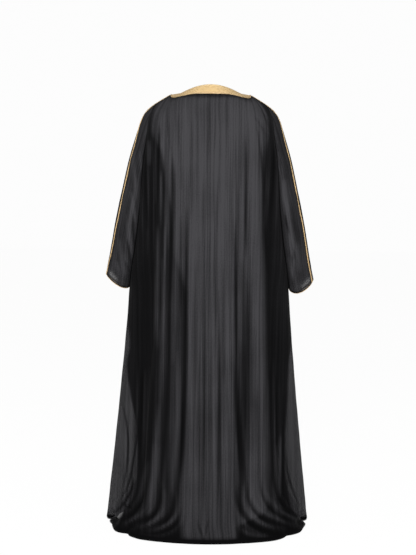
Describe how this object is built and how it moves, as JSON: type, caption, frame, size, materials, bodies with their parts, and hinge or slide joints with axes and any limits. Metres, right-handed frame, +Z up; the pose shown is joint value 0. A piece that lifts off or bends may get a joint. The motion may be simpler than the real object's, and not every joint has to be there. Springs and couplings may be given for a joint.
{
  "type": "bisht cloak",
  "caption": "Long open-fronted cloak of sheer black crepe in its worn form, with wide sleeves, a short train and gold neck, front and sleeve trims.",
  "frame": {"origin": "middle of the neck opening, at the height where the shoulders carry the cloak, 1.54 m above the floor under its hem", "axes": "+Z up, the open front faces -Y, the back and the train face +Y, the left sleeve is at +X"},
  "size_m": [0.7616, 0.5734, 1.5841],
  "materials": {
    "black_crepe": "fine sheer crepe with a soft dull sheen",
    "gold_embroidery": "close metallic thread embroidery, satin gold",
    "gold_cord": "thin twisted metallic cord"
  },
  "bodies": {
    "root": {"back": "black_crepe", "front_left": "black_crepe", "front_right": "black_crepe", "sleeve_left": "black_crepe", "sleeve_right": "black_crepe", "neckband": "gold_embroidery", "front_band_left": "gold_embroidery", "front_band_right": "gold_embroidery", "sleeve_cord_left": "gold_cord", "sleeve_cord_right": "gold_cord", "cuff_piping_left": "gold_cord", "cuff_piping_right": "gold_cord"}
  },
  "joints": []
}
